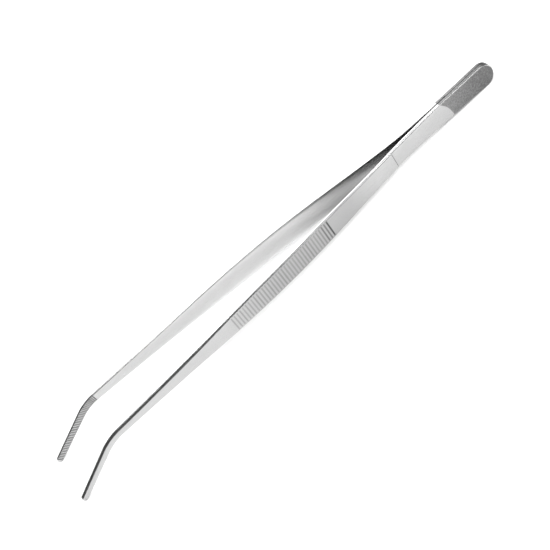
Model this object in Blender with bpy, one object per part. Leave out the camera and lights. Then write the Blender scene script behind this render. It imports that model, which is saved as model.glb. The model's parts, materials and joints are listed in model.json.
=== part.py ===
"""Aquascaping tweezers: two spring-steel strips spot-welded at the head, tips bent downwards.

Metres, +Z up. The tweezers lie on their edges as on a table, touching it with both tips and
the rim of the head. Length runs along X with the head at +X, the arms open along Y, and each
strip stands upright. Each arm flexes at its crease, so it is a fixed heel and a moving blade.
"""
import math

import bmesh
import bpy
from mathutils import Vector

MM = 0.001

# One strip laid flat, in millimetres: stations are distances from the head end
STRIP_LENGTH = 304.0
THICKNESS = 2.0
EDGE_CHAMFER = 0.5
HEAD_ROUND = 6.5
TIP_ROUND = 1.5
CREASE = 70.0
WIDTHS = ((0.0, 13.6), (20.0, 12.3), (36.0, 11.9), (56.0, 11.0), (82.0, 10.9), (120.0, 12.9),
          (150.0, 12.8), (171.0, 12.1), (190.0, 10.6), (212.0, 8.3), (236.0, 6.3), (262.0, 4.5),
          (304.0, 3.3))

# Bent tip, an arc in the plane of the strip
BEND_AT = 268.7
BEND_RADIUS = 25.0
BEND_ANGLE = math.radians(29.0)

# How far an open arm leans out from the middle plane: bowed apart past the welds, set at the
# crease and eased through the finger grip until the jaws are nearly parallel. Squeezing an
# arm shut turns it about the crease by the closing angle.
LEAN_DEGREES = ((0.0, 0.0), (30.0, 0.0), (46.0, 1.9), (58.0, 3.1), (69.5, 6.6), (70.5, 7.3),
                (85.0, 6.4), (128.0, 6.3), (158.0, 3.3), (200.0, 2.0), (STRIP_LENGTH, 1.2))
CLOSING_ANGLE = math.radians(3.9)

# Cross ridges: finger grip on the outer face, jaw teeth on the inner face of the tip
GRIP_FROM = 117.5
GRIP_TO = 187.0
GRIP_GROOVES = 36
GROOVE_DEPTH = 0.35
JAW_FROM = 263.0
JAW_TO = 303.0
JAW_TEETH = 40
TOOTH_DEPTH = 0.3

# Spot welds between the heels, and the clearance kept between touching pieces
WELD_STATIONS = (8.0, 16.5, 25.0)
WELD_RADIUS = 2.0
WELD_HALF_THICKNESS = 0.5
CLEARANCE = 0.3

PLAIN_STEP = 6.0
BEND_STEPS = 8
ROUND_STEPS = 7
SIDES = {"left": -1, "right": 1}
FINISHES = {
    "left_heel": ((0.46, 0.46, 0.47), 0.42),
    "right_heel": ((0.44, 0.44, 0.45), 0.42),
    "left_blade": ((0.68, 0.68, 0.69), 0.30),
    "right_blade": ((0.66, 0.66, 0.67), 0.30),
    "weld_nugget": ((0.34, 0.33, 0.32), 0.55),
}


def clear_scene():
    for obj in list(bpy.data.objects):
        bpy.data.objects.remove(obj, do_unlink=True)


def new_collection(name):
    collection = bpy.data.collections.new(name)
    bpy.context.scene.collection.children.link(collection)
    return collection


def steel(name):
    colour, roughness = FINISHES[name]
    material = bpy.data.materials.new(name + "_steel")
    material.use_nodes = True
    shader = material.node_tree.nodes["Principled BSDF"]
    shader.inputs["Base Color"].default_value = (*colour, 1.0)
    shader.inputs["Metallic"].default_value = 1.0
    shader.inputs["Roughness"].default_value = roughness
    return material


def strip_width(station):
    """Width of the flat strip: a smooth curve through WIDTHS."""
    last = len(WIDTHS) - 2
    k = next((i for i in range(last) if station < WIDTHS[i + 1][0]), last)

    def slope(i):
        low = WIDTHS[max(i - 1, 0)]
        high = WIDTHS[min(i + 1, len(WIDTHS) - 1)]
        return (high[1] - low[1]) / (high[0] - low[0])

    (start, w0), (end, w1) = WIDTHS[k], WIDTHS[k + 1]
    span = end - start
    t = min((station - start) / span, 1.0)
    return ((2 * t**3 - 3 * t**2 + 1) * w0 + (t**3 - 2 * t**2 + t) * span * slope(k)
            + (3 * t**2 - 2 * t**3) * w1 + (t**3 - t**2) * span * slope(k + 1))


def half_width(station):
    """Half the strip's width, drawn in to a round at the head and at the tip."""
    half = strip_width(station) / 2
    for to_end, depth in ((station, HEAD_ROUND), (STRIP_LENGTH - station, TIP_ROUND)):
        if to_end < depth:
            half *= math.sqrt(1 - (1 - to_end / depth) ** 2)
    return half


def bend_turn(station):
    """Angle by which the bent tip has turned down at a station."""
    start = BEND_AT - BEND_RADIUS * BEND_ANGLE / 2
    return min(max((station - start) / BEND_RADIUS, 0.0), BEND_ANGLE)


def centre_line(station):
    """Centre of the strip in its own plane, (along, up), and the turn there."""
    turn = bend_turn(station)
    start = BEND_AT - BEND_RADIUS * BEND_ANGLE / 2
    after = max(station - start - BEND_RADIUS * BEND_ANGLE, 0.0)
    along = min(station, start) + BEND_RADIUS * math.sin(turn) + after * math.cos(turn)
    up = -BEND_RADIUS * (1 - math.cos(turn)) - after * math.sin(turn)
    return along, up, turn


def lean(along):
    """Lean of an open arm away from the middle plane at a distance along the strip."""
    for (a, lean_a), (b, lean_b) in zip(LEAN_DEGREES, LEAN_DEGREES[1:]):
        if along <= b:
            return math.radians(lean_a + (lean_b - lean_a) * (along - a) / (b - a))
    return math.radians(LEAN_DEGREES[-1][1])


def plan_curve():
    """The inner face seen from above: for each millimetre along, (x, y) of the arm."""
    points = [(0.0, CLEARANCE / 2)]
    for i in range(int(STRIP_LENGTH)):
        angle = lean(i + 0.5)
        x, y = points[-1]
        points.append((x + math.cos(angle), y + math.sin(angle)))
    return points


PLAN = plan_curve()


def place(along, up, depth, side):
    """Point of an open arm, in metres from the head end: depth runs from inner to outer face."""
    i = min(int(along), len(PLAN) - 2)
    (x0, y0), (x1, y1) = PLAN[i], PLAN[i + 1]
    part = along - i
    angle = lean(along)
    x = x0 + (x1 - x0) * part - math.sin(angle) * depth
    y = y0 + (y1 - y0) * part + math.cos(angle) * depth
    return Vector((-x, side * y, up)) * MM


def ridge_stations():
    """Stations with the depth cut there: {station: (outer cut, inner cut)}."""
    cuts = {}
    pitch = (GRIP_TO - GRIP_FROM) / GRIP_GROOVES
    for i in range(GRIP_GROOVES):
        start = GRIP_FROM + i * pitch
        for part, cut in ((0.0, 0.0), (0.25, GROOVE_DEPTH), (0.5, GROOVE_DEPTH), (0.75, 0.0)):
            cuts[start + part * pitch] = (cut, 0.0)
    pitch = (JAW_TO - JAW_FROM) / JAW_TEETH
    for i in range(JAW_TEETH):
        start = JAW_FROM + i * pitch
        cuts[start] = (0.0, 0.0)
        cuts[start + pitch / 2] = (0.0, TOOTH_DEPTH)
    cuts[JAW_TO] = (0.0, 0.0)
    return cuts


def stations_between(start, end):
    """Every station that a piece of the strip needs, with its cuts, in order."""
    cuts = {s: c for s, c in ridge_stations().items() if start < s < end}
    extra = [start + PLAIN_STEP * i for i in range(int((end - start) / PLAIN_STEP) + 1)]
    bend_start = BEND_AT - BEND_RADIUS * BEND_ANGLE / 2
    extra += [bend_start + BEND_RADIUS * BEND_ANGLE * i / BEND_STEPS for i in range(BEND_STEPS + 1)]
    for i in range(1, ROUND_STEPS + 1):
        near = 1 - math.cos(math.pi / 2 * i / ROUND_STEPS)
        extra += [HEAD_ROUND * near, STRIP_LENGTH - TIP_ROUND * near]
    extra.append(end)
    for station in extra:
        if start <= station <= end and all(abs(station - s) > 0.2 for s in cuts):
            cuts[station] = (0.0, 0.0)
    return sorted(cuts.items())


def section(station, outer_cut, inner_cut, side, origin):
    """Six corners of the strip's cross-section: flat inner face, chamfered outer edges."""
    along, up, turn = centre_line(station)
    half = half_width(station)
    chamfer = min(EDGE_CHAMFER, half * 0.6)
    corners = ((-half, inner_cut), (-half, THICKNESS - EDGE_CHAMFER),
               (chamfer - half, THICKNESS - outer_cut), (half - chamfer, THICKNESS - outer_cut),
               (half, THICKNESS - EDGE_CHAMFER), (half, inner_cut))
    return [place(along + across * math.sin(turn), up + across * math.cos(turn), depth, side)
            - origin for across, depth in corners]


def strip_piece(name, start, end, side, origin, collection):
    """Loft a stretch of strip through its cross-sections, about the given origin."""
    mesh = bmesh.new()
    rings = []
    for station, (outer_cut, inner_cut) in stations_between(start, end):
        ring = section(station, outer_cut, inner_cut, side, origin)
        rings.append([mesh.verts.new(point) for point in ring])
    for ring, following in zip(rings, rings[1:]):
        for i in range(len(ring)):
            j = (i + 1) % len(ring)
            mesh.faces.new((ring[i], ring[j], following[j], following[i]))
    mesh.faces.new(rings[0])
    mesh.faces.new(rings[-1])
    bmesh.ops.recalc_face_normals(mesh, faces=mesh.faces)
    data = bpy.data.meshes.new(name)
    mesh.to_mesh(data)
    mesh.free()
    data.materials.append(steel(name))
    piece = bpy.data.objects.new(name, data)
    collection.objects.link(piece)
    return piece


def empty(name, location, parent, collection):
    marker = bpy.data.objects.new(name, None)
    marker.empty_display_size = 0.01
    marker.location = location
    marker.parent = parent
    collection.objects.link(marker)
    return marker


def lens(name, station, radius, half_thickness, collection):
    """A flat round lens between the strips, for a weld nugget or its pocket."""
    mesh = bmesh.new()
    bmesh.ops.create_uvsphere(mesh, u_segments=20, v_segments=10, radius=radius * MM)
    bmesh.ops.scale(mesh, vec=(1, half_thickness / radius, 1), verts=mesh.verts)
    data = bpy.data.meshes.new(name)
    mesh.to_mesh(data)
    mesh.free()
    data.shade_smooth()
    piece = bpy.data.objects.new(name, data)
    piece.location = (-station * MM, 0, 0)
    collection.objects.link(piece)
    return piece


def weld_row(heels, frame, parts, cutters):
    """Weld nuggets in a row between the heels, each in a pocket sunk in both of them."""
    finish = steel("weld_nugget")
    for number, station in enumerate(WELD_STATIONS, 1):
        nugget = lens(f"weld_nugget_{number}", station, WELD_RADIUS, WELD_HALF_THICKNESS, parts)
        nugget.data.materials.append(finish)
        nugget.parent = frame
        pocket = lens(f"weld_pocket_{number}", station, WELD_RADIUS + CLEARANCE,
                      WELD_HALF_THICKNESS + CLEARANCE, cutters)
        pocket.parent = frame
        pocket.hide_render = True
        pocket.display_type = "WIRE"
        for heel in heels:
            cut = heel.modifiers.new(f"weld_pocket_{number}", "BOOLEAN")
            cut.operation = "DIFFERENCE"
            cut.solver = "EXACT"
            cut.object = pocket


def outline_points():
    """Points of both edges of one strip, for finding how the tweezers rest."""
    points = []
    for i in range(int(STRIP_LENGTH * 4) + 1):
        along, up, turn = centre_line(i / 4)
        for across in (-half_width(i / 4), half_width(i / 4)):
            edge = (along + across * math.sin(turn), up + across * math.cos(turn))
            points += [place(*edge, depth, 1) for depth in (0.0, THICKNESS)]
    return points


def rest_on_edges(frame):
    """Pitch the frame until head and tips touch the ground, with its base centre at the origin."""
    points = outline_points()
    middle = -CREASE * 2 * MM
    pitch = 0.0
    for _ in range(8):
        turned = [(x * math.cos(pitch) + z * math.sin(pitch),
                   z * math.cos(pitch) - x * math.sin(pitch), x) for x, y, z in points]
        head = min((z, x) for x, z, x0 in turned if x0 > middle)
        tip = min((z, x) for x, z, x0 in turned if x0 <= middle)
        pitch += math.atan2(head[0] - tip[0], head[1] - tip[1])
    xs = [x for x, z, x0 in turned]
    frame.rotation_euler = (0, pitch, 0)
    frame.location = (-(min(xs) + max(xs)) / 2, 0, -min(head[0], tip[0]))


def build():
    clear_scene()
    parts = new_collection("aquascaping_tweezers")
    cutters = new_collection("cutters")
    frame = empty("resting_frame", (0, 0, 0), None, parts)

    # Closing turns one side of the blade's root towards the heel
    root_gap = CLEARANCE + math.sin(CLOSING_ANGLE) * THICKNESS / 2
    heels = []
    for hand, side in SIDES.items():
        heel = strip_piece(f"{hand}_heel", 0.05, CREASE - CLEARANCE / 2, side, Vector(), parts)
        heel.parent = frame
        heels.append(heel)
        hinge_at = place(CREASE, 0.0, THICKNESS / 2, side)
        hinge = empty(f"{hand}_crease", hinge_at, frame, parts)
        blade = strip_piece(f"{hand}_blade", CREASE - CLEARANCE / 2 + root_gap,
                            STRIP_LENGTH - 0.02, side, hinge_at, parts)
        blade.parent = hinge
    weld_row(heels, frame, parts, cutters)
    rest_on_edges(frame)


build()
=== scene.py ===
"""Aquascaping tweezers, open and lying on their edges on a pale studio floor."""
import json
import math

import bmesh
import bpy
from mathutils import Matrix, Vector


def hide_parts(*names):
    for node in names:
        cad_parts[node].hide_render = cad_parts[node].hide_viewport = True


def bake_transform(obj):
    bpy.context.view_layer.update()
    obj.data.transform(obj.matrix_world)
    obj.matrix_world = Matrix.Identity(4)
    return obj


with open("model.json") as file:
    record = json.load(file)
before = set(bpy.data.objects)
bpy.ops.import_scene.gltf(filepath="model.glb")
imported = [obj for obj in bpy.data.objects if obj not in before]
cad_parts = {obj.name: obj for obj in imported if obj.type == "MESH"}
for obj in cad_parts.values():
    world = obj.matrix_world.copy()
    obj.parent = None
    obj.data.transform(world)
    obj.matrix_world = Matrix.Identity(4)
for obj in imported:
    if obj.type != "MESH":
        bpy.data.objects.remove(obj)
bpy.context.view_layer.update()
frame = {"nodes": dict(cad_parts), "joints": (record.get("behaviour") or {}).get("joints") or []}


# ---------------------------------------------------------------- left_arm, right_arm
# Each arm is one strip of stainless spring steel with a round head and tip, and the other is
# its mirror image. It is creased outwards past the welds, bowed back through the finger grip
# and bent at the tip, with grooves across its outer face and teeth inside the tip.

MM = 0.001
STRIP_LENGTH = 304.0
THICKNESS = 2.0
HEAD_ROUND = 6.5
TIP_ROUND = 1.5
CREASE = 70.0
WIDTHS = ((0.0, 13.6), (20.0, 12.3), (36.0, 11.9), (56.0, 11.0), (82.0, 10.9), (120.0, 12.9),
          (150.0, 12.8), (171.0, 12.1), (190.0, 10.6), (212.0, 8.3), (236.0, 6.3), (262.0, 4.5),
          (304.0, 3.3))
BEND_RADIUS = 25.0
BEND_ANGLE = math.radians(29.0)
BEND_START = 268.7 - BEND_RADIUS * BEND_ANGLE / 2
LEAN_DEGREES = ((0.0, 0.0), (30.0, 0.0), (46.0, 1.9), (58.0, 3.1), (CREASE - 0.5, 6.6),
                (CREASE + 0.5, 7.3), (85.0, 6.4), (128.0, 6.3), (158.0, 3.3), (200.0, 2.0),
                (STRIP_LENGTH, 1.2))
SEAM_HALF_GAP = ((0.0, 0.02), (28.0, 0.02), (36.0, 0.15), (STRIP_LENGTH, 0.15))
OUTER_ROUND = ((0.0, 0.75), (9.0, 0.5), (36.0, 0.6), (50.0, 1.1), (CREASE, 1.3),
               (200.0, 1.3), (240.0, 1.2), (STRIP_LENGTH, 0.9))
OUTER_FLATNESS = ((0.0, 0.8), (50.0, 0.6), (190.0, 0.55), (218.0, 1.0), (STRIP_LENGTH, 1.0))
INNER_ROUND = 0.15
FACE_CROWN = 0.06
FULL_CROWN_HALF_WIDTH = 5.5
JOIN_WITHIN = 0.002      # points of the skin closer than this are one point
CORNER_STEPS = 6
OUTER_STEPS = 12
INNER_STEPS = 8
# Finger grooves, 36 give or take two. The number of jaw teeth is an estimate, not a count.
GRIP = {"From": 117.5, "To": 187.0, "Count": 36, "Depth": 0.16, "Groove Width": 0.5,
        "Flank": 0.3, "First Bite": 1.55, "Cut Direction": -1.0,
        "Distance Attribute": "below_outer", "Seed": 4}
SCORE = {"From": CREASE - 0.55, "To": CREASE + 0.55, "Count": 1, "Depth": 0.22,
         "Groove Width": 0.5, "Flank": 0.9, "First Bite": 1.0, "Cut Direction": -1.0,
         "Distance Attribute": "below_outer", "Seed": 1}
JAW = {"From": 263.0, "To": 303.0, "Count": 40, "Depth": 0.32, "Groove Width": 0.5,
       "Flank": 0.6, "First Bite": 1.0, "Cut Direction": 1.0,
       "Distance Attribute": "below_inner", "Seed": 9}


def along_marks(marks, at):
    """Value at a place, on straight lines through marks of (place, value)."""
    for (a, value_a), (b, value_b) in zip(marks, marks[1:]):
        if at <= b:
            return value_a + (value_b - value_a) * max(at - a, 0.0) / (b - a)
    return marks[-1][1]


def strip_width(station):
    """Width of the flat strip: a smooth curve through WIDTHS."""
    last = len(WIDTHS) - 2
    k = next((i for i in range(last) if station < WIDTHS[i + 1][0]), last)

    def slope(i):
        low, high = WIDTHS[max(i - 1, 0)], WIDTHS[min(i + 1, len(WIDTHS) - 1)]
        return (high[1] - low[1]) / (high[0] - low[0])

    (start, w0), (end, w1) = WIDTHS[k], WIDTHS[k + 1]
    span, t = end - start, min((station - start) / (end - start), 1.0)
    return ((2 * t**3 - 3 * t**2 + 1) * w0 + (t**3 - 2 * t**2 + t) * span * slope(k)
            + (3 * t**2 - 2 * t**3) * w1 + (t**3 - t**2) * span * slope(k + 1))


def strip_stations():
    """Stations down the strip from the head end, close together where it curves or is cut."""
    stations = [STRIP_LENGTH]
    for i in range(25):
        stations.append(HEAD_ROUND * (1 - math.cos(math.pi / 2 * i / 24)))
    for i in range(10):
        stations.append(STRIP_LENGTH - TIP_ROUND * (1 - math.cos(math.pi / 2 * i / 9)))
    stations += [HEAD_ROUND + (GRIP["From"] - HEAD_ROUND) * i / 90 for i in range(1, 90)]
    stations += [CREASE - 1.5 + 0.1 * i for i in range(31)]
    for ridges, steps in ((GRIP, 12), (JAW, 8)):
        count = ridges["Count"] * steps
        span = ridges["To"] - ridges["From"]
        stations += [ridges["From"] + span * i / count for i in range(count + 1)]
    stations += [GRIP["To"] + (JAW["From"] - GRIP["To"]) * i / 60 for i in range(1, 60)]
    stations.sort()
    return [s for s, following in zip(stations, stations[1:]) if following - s > 0.01] + [
        STRIP_LENGTH]


def outline():
    """One edge of the flat strip: (station, half width), and the unit vector inwards."""
    points = []
    for s in strip_stations():
        half = strip_width(s) / 2
        for to_end, depth in ((s, HEAD_ROUND), (STRIP_LENGTH - s, TIP_ROUND)):
            if to_end < depth:
                half *= math.sqrt(max(1 - (1 - to_end / depth) ** 2, 0.0))
        points.append(Vector((s, half)))
    mirrored = [Vector((p.x, -p.y)) for p in (points[1], points[-2])]
    padded = [mirrored[0]] + points + [mirrored[1]]
    inwards = []
    for before, after in zip(padded, padded[2:]):
        run = (after - before).normalized()
        inwards.append(Vector((run.y, -run.x)))
    return list(zip(points, inwards))


def plan_curve(step):
    """The inner face seen from above, a point each step millimetres: (along, out)."""
    points = [Vector((0.0, SEAM_HALF_GAP[-1][1]))]
    for i in range(int(STRIP_LENGTH / step) + 8):
        angle = math.radians(along_marks(LEAN_DEGREES, (i + 0.5) * step))
        points.append(points[-1] + step * Vector((math.cos(angle), math.sin(angle))))
    return points


PLAN_STEP = 0.1
PLAN = plan_curve(PLAN_STEP)


def folded(station, across, depth):
    """A point of the flat strip once bent and creased, in millimetres from the head end, and
    the direction there from the inner to the outer face. For the arm on the +Y side."""
    turn = min(max((station - BEND_START) / BEND_RADIUS, 0.0), BEND_ANGLE)
    after = max(station - BEND_START - BEND_RADIUS * BEND_ANGLE, 0.0)
    along = (min(station, BEND_START) + BEND_RADIUS * math.sin(turn) + after * math.cos(turn)
             + across * math.sin(turn))
    up = across * math.cos(turn) - BEND_RADIUS * (1 - math.cos(turn)) - after * math.sin(turn)
    place = max(along, 0.0) / PLAN_STEP
    i = min(int(place), len(PLAN) - 2)
    foot = PLAN[i].lerp(PLAN[i + 1], place - i)
    angle = math.radians(along_marks(LEAN_DEGREES, along))
    out = Vector((math.sin(angle), math.cos(angle), 0.0))
    return Vector((-foot.x, foot.y, up)) + out * depth, out


def crown(half):
    """How far the outer face falls away to its edges, less where the strip is narrow."""
    return FACE_CROWN * min(half / FULL_CROWN_HALF_WIDTH, 1.0)


def section(edge, inwards):
    """One ring of the strip at an edge point: (station, across, depth, how rubbed) all the way
    round. The outer corners are well rounded, further down the face than through the
    thickness, and the inner ones only broken."""
    station, half = edge
    outer = along_marks(OUTER_ROUND, station)
    floor_at = along_marks(SEAM_HALF_GAP, station) - SEAM_HALF_GAP[-1][1]
    side = []
    for i in range(3):
        quarter = math.pi / 2 * (1 - i / 2)
        side.append((INNER_ROUND * (1 - math.cos(quarter)),
                     floor_at + INNER_ROUND * (1 - math.sin(quarter)), 0.0))
    sunk = outer * along_marks(OUTER_FLATNESS, station)
    side.append((0.0, (floor_at + INNER_ROUND + THICKNESS - sunk) / 2, 0.0))
    for i in range(CORNER_STEPS + 1):
        quarter = math.pi / 2 * i / CORNER_STEPS
        side.append((outer * (1 - math.cos(quarter)),
                     THICKNESS - sunk * (1 - math.sin(quarter)), math.sin(2 * quarter)))

    def edge_point(inset, depth, rubbed, sign):
        point = edge + inwards * inset
        return point.x, sign * max(point.y, 0.0), depth, rubbed

    upper = [edge_point(*corner, 1) for corner in side]
    lower = [edge_point(*corner, -1) for corner in reversed(side)]
    ring = list(upper)
    for (s, across, depth, _), (_, far, _, _), steps, following in (
            (upper[-1], lower[0], OUTER_STEPS, lower), (lower[-1], upper[0], INNER_STEPS, [])):
        ring += [(s, across + (far - across) * i / steps, depth, 0.0) for i in range(1, steps)]
        ring += following
    crowned = []
    for s, across, depth, rubbed in ring:
        fall = crown(half) * (across / max(half, 1.0)) ** 2 * max(depth / THICKNESS, 0.0)
        crowned.append((s, across, depth - fall, rubbed))
    return crowned


def arm_mesh(name, side, to_row):
    """The strip as one closed skin, with what the grooves and the steel need on its points."""
    mesh = bmesh.new()
    strip = mesh.verts.layers.float_vector.new("strip_mm")
    outward = mesh.verts.layers.float_vector.new("outward")
    below_outer = mesh.verts.layers.float.new("below_outer")
    below_inner = mesh.verts.layers.float.new("below_inner")
    wear = mesh.verts.layers.float.new("edge_wear")
    mirror = Vector((1.0, side, 1.0))
    rings = []
    for edge, inwards in outline():
        ring = []
        for station, across, depth, rubbed in section(edge, inwards):
            point, out = folded(station, across, depth)
            vert = mesh.verts.new(to_row @ (point * mirror * MM))
            vert[strip] = (station, across, depth)
            vert[outward] = to_row.to_3x3() @ (out * mirror)
            fall = crown(edge.y) * (across / max(edge.y, 1.0)) ** 2
            vert[below_outer] = THICKNESS - fall - depth
            vert[below_inner] = depth
            vert[wear] = rubbed
            ring.append(vert)
        rings.append(ring)
    for ring, following in zip(rings, rings[1:]):
        for i, vert in enumerate(ring):
            j = (i + 1) % len(ring)
            mesh.faces.new((vert, ring[j], following[j], following[i]))
    bmesh.ops.remove_doubles(mesh, verts=mesh.verts, dist=JOIN_WITHIN * MM)
    ends = [e for e in mesh.edges if e.is_boundary]
    if ends:
        bmesh.ops.holes_fill(mesh, edges=ends)
    bmesh.ops.recalc_face_normals(mesh, faces=mesh.faces)
    data = bpy.data.meshes.new(name)
    mesh.to_mesh(data)
    mesh.free()
    arm = bpy.data.objects.new(name, data)
    bpy.context.scene.collection.objects.link(arm)
    return arm


def add(tree, kind, inputs=None, **settings):
    """Add a node with its settings. An input takes a value, an output, or a node, whose first
    output is meant."""
    made = tree.nodes.new(kind)
    for key, value in settings.items():
        setattr(made, key, value)
    for key, value in (inputs or {}).items():
        if isinstance(value, bpy.types.Node):
            value = value.outputs[0]
        if isinstance(value, bpy.types.NodeSocket):
            tree.links.new(value, made.inputs[key])
        else:
            made.inputs[key].default_value = value
    return made


def cross_ridges():
    """Nodes that sink evenly spaced cross grooves into one face of a strip."""
    tree = bpy.data.node_groups.new("cross_ridges", "GeometryNodeTree")
    tree.is_modifier = True
    for name, kind in (("Geometry", "Geometry"), ("From", "Float"), ("To", "Float"),
                       ("Count", "Int"), ("Depth", "Float"), ("Groove Width", "Float"),
                       ("Flank", "Float"), ("Cut Direction", "Float"),
                       ("First Bite", "Float"), ("Distance Attribute", "String"), ("Seed", "Int"),
                       ("Steel", "Material")):
        tree.interface.new_socket(name, in_out="INPUT", socket_type="NodeSocket" + kind)
    tree.interface.new_socket("Geometry", in_out="OUTPUT", socket_type="NodeSocketGeometry")
    given = add(tree, "NodeGroupInput").outputs
    maths = "ShaderNodeMath"

    # Place in the row of grooves: the whole part numbers the groove, the rest is where in it
    strip = add(tree, "GeometryNodeInputNamedAttribute", {"Name": "strip_mm"},
                data_type="FLOAT_VECTOR")
    station = add(tree, "ShaderNodeSeparateXYZ", {"Vector": strip})
    span = add(tree, maths, {0: given["To"], 1: given["From"]}, operation="SUBTRACT")
    pitch = add(tree, maths, {0: span, 1: given["Count"]}, operation="DIVIDE")
    come = add(tree, maths, {0: station, 1: given["From"]}, operation="SUBTRACT")
    row = add(tree, maths, {0: come, 1: pitch}, operation="DIVIDE")
    number = add(tree, maths, {0: row}, operation="FLOOR")
    centred = add(tree, maths, {0: add(tree, maths, {0: row}, operation="FRACT"), 1: 0.5},
                  operation="SUBTRACT")
    off_middle = add(tree, maths, {0: add(tree, maths, {0: centred}, operation="ABSOLUTE"),
                                   1: 2.0}, operation="MULTIPLY")
    half_flank = add(tree, maths, {0: given["Flank"], 1: 0.5}, operation="MULTIPLY")
    foot = add(tree, maths, {0: given["Groove Width"], 1: half_flank}, operation="SUBTRACT")
    crest = add(tree, maths, {0: given["Groove Width"], 1: half_flank}, operation="ADD")
    shape = add(tree, "ShaderNodeMapRange",
                {"Value": off_middle, "From Min": foot, "From Max": crest, "To Min": 1.0,
                 "To Max": 0.0}, interpolation_type="SMOOTHSTEP")
    started = add(tree, maths, {0: row, 1: 0.0}, operation="GREATER_THAN")
    ended = add(tree, maths, {0: row, 1: given["Count"]}, operation="LESS_THAN")
    inside = add(tree, maths, {0: started, 1: ended}, operation="MULTIPLY")

    # The first four grooves are the deepest, and no two are quite alike
    bite = add(tree, "ShaderNodeMapRange", {"Value": number, "From Min": 0.0, "From Max": 4.0,
               "To Min": given["First Bite"], "To Max": 1.0})
    wear = add(tree, "FunctionNodeRandomValue",
               {2: 0.88, 3: 1.06, "ID": number, "Seed": given["Seed"]}, data_type="FLOAT")
    worn = add(tree, maths, {0: given["Depth"], 1: wear.outputs[1]}, operation="MULTIPLY")
    depth = add(tree, maths, {0: worn, 1: bite}, operation="MULTIPLY")
    groove = add(tree, maths, {0: add(tree, maths, {0: shape, 1: depth}, operation="MULTIPLY"),
                               1: inside}, operation="MULTIPLY")

    # Only what stands above the groove's floor is pushed down, so the rounded edges are
    # notched and the sides stay put
    below = add(tree, "GeometryNodeInputNamedAttribute", {"Name": given["Distance Attribute"]},
                data_type="FLOAT")
    over = add(tree, maths, {0: groove, 1: below}, operation="SUBTRACT")
    cut = add(tree, maths, {0: over, 1: 0.0}, operation="MAXIMUM")
    outward = add(tree, "GeometryNodeInputNamedAttribute", {"Name": "outward"},
                  data_type="FLOAT_VECTOR")
    signed = add(tree, maths, {0: cut, 1: given["Cut Direction"]}, operation="MULTIPLY")
    metres = add(tree, maths, {0: signed, 1: MM}, operation="MULTIPLY")
    shift = add(tree, "ShaderNodeVectorMath", {0: outward, "Scale": metres}, operation="SCALE")
    pressed = add(tree, "GeometryNodeSetPosition",
                  {"Geometry": given["Geometry"], "Offset": shift})
    earlier = add(tree, "GeometryNodeInputNamedAttribute", {"Name": "cut_mm"},
                  data_type="FLOAT")
    total = add(tree, maths, {0: cut, 1: earlier}, operation="ADD")
    noted = add(tree, "GeometryNodeStoreNamedAttribute",
                {"Geometry": pressed, "Name": "cut_mm", "Value": total},
                data_type="FLOAT", domain="POINT")
    real = add(tree, "GeometryNodeRealizeInstances", {"Geometry": noted})
    finish = add(tree, "GeometryNodeSetMaterial", {"Geometry": real, "Material": given["Steel"]})
    add(tree, "NodeGroupOutput", {"Geometry": finish})
    return tree


def run_tree(obj, tree, values):
    """Run a tree once on an object and keep the result as its plain mesh."""
    modifier = obj.modifiers.new(tree.name, "NODES")
    modifier.node_group = tree
    for item in tree.interface.items_tree:
        if item.item_type == "SOCKET" and item.in_out == "INPUT" and item.name in values:
            modifier[item.identifier] = values[item.name]
    graph = bpy.context.evaluated_depsgraph_get()
    data = bpy.data.meshes.new_from_object(obj.evaluated_get(graph), depsgraph=graph)
    obj.modifiers.remove(modifier)
    old, obj.data = obj.data, data
    bpy.data.meshes.remove(old)


def linear(code):
    """Linear colour of an sRGB hex code."""
    parts = (int(code[i:i + 2], 16) / 255 for i in (1, 3, 5))
    return (*(p / 12.92 if p <= 0.04045 else ((p + 0.055) / 1.055) ** 2.4 for p in parts), 1.0)


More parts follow.
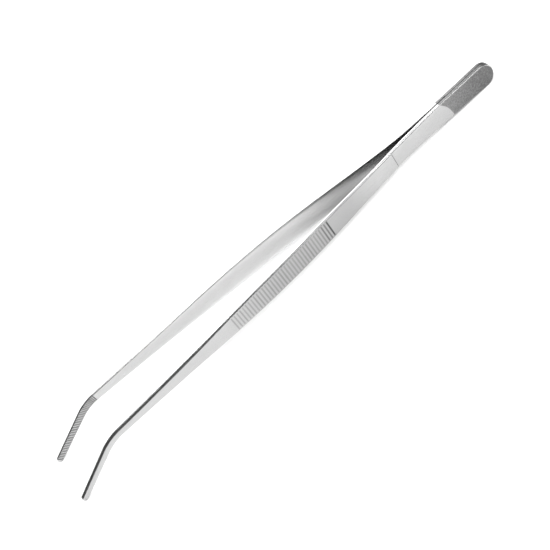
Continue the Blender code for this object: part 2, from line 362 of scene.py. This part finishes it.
def stainless():
    """Stainless spring steel, satin polished all over and bead blasted matt at the head: soft
    bright faces with faint lines along the strip and painted reflection and shade down them,
    grooves painted darker as shade, and a grainy head painted a darker grey as shade."""
    material = bpy.data.materials.new("stainless_spring_steel")
    material.use_nodes = True
    tree = material.node_tree
    shader = tree.nodes["Principled BSDF"]
    maths, mix = "ShaderNodeMath", "ShaderNodeMixRGB"
    strip = add(tree, "ShaderNodeAttribute", attribute_name="strip_mm").outputs["Vector"]
    axes = add(tree, "ShaderNodeSeparateXYZ", {"Vector": strip}).outputs
    cut = add(tree, "ShaderNodeAttribute", attribute_name="cut_mm").outputs["Fac"]

    # The matt head ends on a slightly slanted and bowed line, about 30 mm down
    slant = add(tree, maths, {0: axes["Y"], 1: 0.19, 2: 30.7}, operation="MULTIPLY_ADD")
    upper = add(tree, maths, {0: axes["Y"], 1: 1.5}, operation="ADD")
    above = add(tree, maths, {0: upper, 1: 0.0}, operation="MAXIMUM")
    bowed = add(tree, maths, {0: above, 1: 2.0}, operation="POWER")
    mask = add(tree, maths, {0: bowed, 1: 0.05, 2: slant}, operation="MULTIPLY_ADD")
    past = add(tree, maths, {0: axes["X"], 1: mask}, operation="SUBTRACT")
    blasted = add(tree, "ShaderNodeMapRange", {"Value": past, "From Min": -0.25,
                  "From Max": 0.25, "To Min": 1.0, "To Max": 0.0},
                  interpolation_type="SMOOTHSTEP")

    wear = add(tree, "ShaderNodeAttribute", attribute_name="edge_wear").outputs["Fac"]
    bare = add(tree, "ShaderNodeMapRange", {"Value": wear, "From Min": 0.3, "From Max": 0.65,
               "To Min": 1.0, "To Max": 0.0}, interpolation_type="SMOOTHSTEP")
    masked = add(tree, maths, {0: blasted, 1: bare}, operation="MULTIPLY")

    # Satin lines 0.2 mm apart run along the strip, with faint clouds some 6 mm across. The
    # head's grain is drawn coarse so that it shows
    stretched = add(tree, "ShaderNodeMapping", {"Vector": strip, "Scale": (0.12, 5.0, 1.0)})
    lines = add(tree, "ShaderNodeTexNoise", {"Vector": stretched, "Scale": 1.0,
                "Detail": 3.0, "Roughness": 0.6})
    clouds = add(tree, "ShaderNodeTexNoise", {"Vector": strip, "Scale": 0.16, "Detail": 2.0,
                 "Roughness": 0.5})
    grain = add(tree, "ShaderNodeTexNoise", {"Vector": strip, "Scale": 1.1, "Detail": 4.0,
                "Roughness": 0.75})
    flecks = add(tree, "ShaderNodeMapRange", {"Value": grain, "From Min": 0.38,
                 "From Max": 0.66})
    thinner = add(tree, maths, {0: axes["X"], 1: 0.016, 2: -0.25}, operation="MULTIPLY_ADD")
    blast = add(tree, maths, {0: flecks, 1: 0.6, 2: thinner}, operation="MULTIPLY_ADD",
                use_clamp=True)

    satin = add(tree, mix, {"Fac": clouds, "Color1": linear("#b6b6b6"),
                "Color2": linear("#bcbcbc")})

    # Tones that change down the strip: the outer face is darker from the bow through the grip,
    # the inner one darker at its root and then lighter. They are partly painted reflection and
    # painted shade, standing in for the light these leaning faces mirror, and partly tone of no
    # known cause
    bowed_in = add(tree, "ShaderNodeMapRange", {"Value": axes["X"], "From Min": 80.0,
                   "From Max": 108.0}, interpolation_type="SMOOTHSTEP")
    bowed_out = add(tree, "ShaderNodeMapRange", {"Value": axes["X"], "From Min": 148.0,
                    "From Max": 196.0, "To Min": 1.0, "To Max": 0.0},
                    interpolation_type="SMOOTHSTEP")
    outer_painted_shade = add(tree, maths, {0: bowed_in, 1: bowed_out}, operation="MULTIPLY")
    outer_face = add(tree, mix, {"Fac": outer_painted_shade, "Color1": satin,
                     "Color2": linear("#a6a6a6")})
    # Inner face: painted shade at its root by the crease, painted reflection lighter past it
    opening = add(tree, "ShaderNodeMapRange", {"Value": axes["X"], "From Min": 92.0,
                  "From Max": 138.0}, interpolation_type="SMOOTHSTEP")
    inner_painted_shade = add(tree, mix, {"Fac": opening, "Color1": linear("#a6a6a6"),
                  "Color2": linear("#dadada")})
    narrowing = add(tree, "ShaderNodeMapRange", {"Value": axes["X"], "From Min": 160.0,
                    "From Max": 240.0}, interpolation_type="SMOOTHSTEP")
    inner_painted_light_and_shade = add(tree, mix, {"Fac": narrowing, "Color1": inner_painted_shade,
                 "Color2": linear("#c8c8c8")})
    inner = add(tree, "ShaderNodeMapRange", {"Value": axes["Z"], "From Min": 0.1,
                "From Max": 0.6, "To Min": 1.0, "To Max": 0.0})
    faces = add(tree, mix, {"Fac": inner, "Color1": outer_face, "Color2": inner_painted_light_and_shade})
    # The blasted head's grain flecks are its own, but its grey is painted darker than the satin
    # steel: painted shade, since rough steel reflects no less light
    matt_grain_and_painted_shade = add(tree, mix, {"Fac": blast, "Color1": linear("#6a6a6a"),
               "Color2": linear("#a2a2a2")})
    tone = add(tree, mix, {"Fac": masked, "Color1": faces, "Color2": matt_grain_and_painted_shade})
    # The grooves, score and teeth are painted darker the deeper they are cut: painted shade in
    # the recesses
    deep = add(tree, maths, {0: cut, 1: 3.6}, operation="MULTIPLY")
    groove_painted_shade = add(tree, maths, {0: deep, 1: 2.0}, operation="POWER", use_clamp=True)
    tone_with_groove_shade = add(tree, mix, {"Fac": groove_painted_shade, "Color1": tone, "Color2": linear("#2c2c2c")})
    tree.links.new(tone_with_groove_shade.outputs[0], shader.inputs["Base Color"])
    shader.inputs["Metallic"].default_value = 1.0
    brushed = add(tree, maths, {0: lines, 1: 0.12, 2: 0.20}, operation="MULTIPLY_ADD")
    rough = add(tree, "ShaderNodeMix", {0: masked, 2: brushed, 3: 0.5})
    tree.links.new(rough.outputs[0], shader.inputs["Roughness"])
    low = add(tree, maths, {0: lines, 1: 0.12}, operation="MULTIPLY")
    height = add(tree, "ShaderNodeMix", {0: masked, 2: low, 3: grain})
    bump = add(tree, "ShaderNodeBump", {"Height": height, "Strength": 0.35,
               "Distance": 0.00008})
    tree.links.new(bump.outputs["Normal"], shader.inputs["Normal"])
    return material


# The arms stand where the record's flex axes say, which run through the crease half way
# through the strip
flex = {joint["name"]: joint for joint in frame["joints"]}
strip_up = Vector(flex["right_arm_flex"]["axis"]).normalized()
to_head = Vector((strip_up.z, 0.0, -strip_up.x))
crease_at = Vector(flex["right_arm_flex"]["pos_m"])
from_crease = -folded(CREASE, 0.0, THICKNESS / 2)[0].x * MM
head_end = Vector((crease_at.x, 0.0, crease_at.z)) + to_head * from_crease
resting = Matrix((to_head, (0.0, 1.0, 0.0), strip_up)).transposed().to_4x4()
resting.translation = head_end

steel = stainless()
ridges = cross_ridges()
for hand, side in (("left", -1), ("right", 1)):
    arm = arm_mesh(f"{hand}_spring_arm", side, resting)
    for cuts in (GRIP, SCORE, JAW):
        run_tree(arm, ridges, {**cuts, "Steel": steel})
    arm.data.shade_smooth()
    arm.data.set_sharp_from_angle(angle=math.radians(50))
    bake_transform(arm)
    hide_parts(f"{hand}_heel", f"{hand}_blade")


# ---------------------------------------------------------------- weld_nugget_1, _2, _3
# Spot welds in a row hold the heels together. Each is a flat lens of steel that melted
# between the strips and froze, grey and scaly. They are hidden, so three is an assumption.

def fused_steel():
    """Steel that froze in place: dull grey, with fine scale from the weld's heat."""
    material = bpy.data.materials.new("fused_weld_steel")
    material.use_nodes = True
    tree = material.node_tree
    shader = tree.nodes["Principled BSDF"]
    spot = add(tree, "ShaderNodeTexCoord").outputs["Object"]
    scale = add(tree, "ShaderNodeTexNoise", {"Vector": spot, "Scale": 2500.0, "Detail": 4.0,
                "Roughness": 0.65})
    colour = add(tree, "ShaderNodeMixRGB", {"Fac": scale, "Color1": linear("#5b5855"),
                 "Color2": linear("#8d8b88")})
    tree.links.new(colour.outputs[0], shader.inputs["Base Color"])
    shader.inputs["Metallic"].default_value = 1.0
    rough = add(tree, "ShaderNodeMath", {0: scale, 1: 0.3, 2: 0.4}, operation="MULTIPLY_ADD")
    tree.links.new(rough.outputs[0], shader.inputs["Roughness"])
    bump = add(tree, "ShaderNodeBump", {"Height": scale, "Strength": 0.5, "Distance": 0.00005})
    tree.links.new(bump.outputs["Normal"], shader.inputs["Normal"])
    return material


fused = fused_steel()
for number in (1, 2, 3):
    nugget = frame["nodes"][f"weld_nugget_{number}"]
    nugget.data.materials.clear()
    nugget.data.materials.append(fused)
    nugget.data.shade_smooth()


# ---------------------------------------------------------------- floor
# A roll of white background paper, laid flat and lit until it looks plain white. It has no
# edge within view from above.

def paper():
    """Matt white paper, very slightly uneven in tone."""
    material = bpy.data.materials.new("background_paper")
    material.use_nodes = True
    tree = material.node_tree
    shader = tree.nodes["Principled BSDF"]
    spot = add(tree, "ShaderNodeTexCoord").outputs["Object"]
    pulp = add(tree, "ShaderNodeTexNoise", {"Vector": spot, "Scale": 40.0, "Detail": 3.0})
    colour = add(tree, "ShaderNodeMixRGB", {"Fac": pulp.outputs["Fac"],
                 "Color1": linear("#eeeeee"), "Color2": linear("#f2f2f2")})
    tree.links.new(colour.outputs[0], shader.inputs["Base Color"])
    shader.inputs["Roughness"].default_value = 0.9
    shader.inputs["Specular IOR Level"].default_value = 0.2
    return material


floor_mesh = bmesh.new()
bmesh.ops.create_grid(floor_mesh, x_segments=1, y_segments=1, size=2.5)
floor_data = bpy.data.meshes.new("floor")
floor_mesh.to_mesh(floor_data)
floor_mesh.free()
floor_data.materials.append(paper())
floor = bpy.data.objects.new("floor", floor_data)
bpy.context.scene.collection.objects.link(floor)


# ---------------------------------------------------------------- light
# Soft boxes in a dim, plain room. Two wash the paper white from above and are masked off
# the metal; two on the head's side are what the polished edges mirror.

def soft_box(name, direction, distance, size, power, mirrored):
    """A rectangular area light facing the tweezers from a direction, in metres and watts."""
    light = bpy.data.lights.new(name, "AREA")
    light.shape = "RECTANGLE"
    light.size, light.size_y = size
    light.energy = power
    lamp = bpy.data.objects.new(name, light)
    way = Vector(direction).normalized()
    lamp.location = way * distance
    lamp.rotation_euler = (-way).to_track_quat("-Z", "Y").to_euler()
    lamp.visible_glossy = mirrored
    bpy.context.scene.collection.objects.link(lamp)


soft_box("key_box", (-0.20, -0.02, 0.98), 1.3, (1.2, 1.2), 13.0, False)
soft_box("wash_front", (0.10, -0.60, 0.79), 1.3, (1.2, 1.0), 15.0, False)
soft_box("front_box", (0.42, -0.62, 0.73), 1.1, (0.55, 0.5), 4.1, True)
soft_box("back_box", (0.29, 0.73, 0.62), 1.2, (1.17, 0.5), 8.4, True)

room = bpy.data.worlds.new("room")
bpy.context.scene.world = room
room.use_nodes = True
room.node_tree.nodes["Background"].inputs["Color"].default_value = linear("#ffffff")
room.node_tree.nodes["Background"].inputs["Strength"].default_value = 0.12


# ---------------------------------------------------------------- camera
# A short telephoto from above the finger side, turned so that the tweezers lie corner to
# corner with the head at the top right.

camera_data = bpy.data.cameras.new("camera")
camera_data.sensor_width = 36.0
camera_data.lens = 82.246
camera = bpy.data.objects.new("camera", camera_data)
azimuth, elevation, roll = (math.radians(a) for a in (3.563, 42.793, -41.378))
aim = Vector((-3.93, -3.47, 9.0)) * MM
stand_off = 632.86 * MM
turned = (Matrix.Rotation(-azimuth, 4, "Z") @ Matrix.Rotation(math.pi / 2 - elevation, 4, "X")
          @ Matrix.Rotation(roll, 4, "Z"))
camera.matrix_world = Matrix.Translation(aim) @ turned @ Matrix.Translation((0, 0, stand_off))
bpy.context.scene.collection.objects.link(camera)
bpy.context.scene.camera = camera
bpy.context.scene.view_settings.view_transform = "Standard"
bpy.context.scene.view_settings.look = "None"
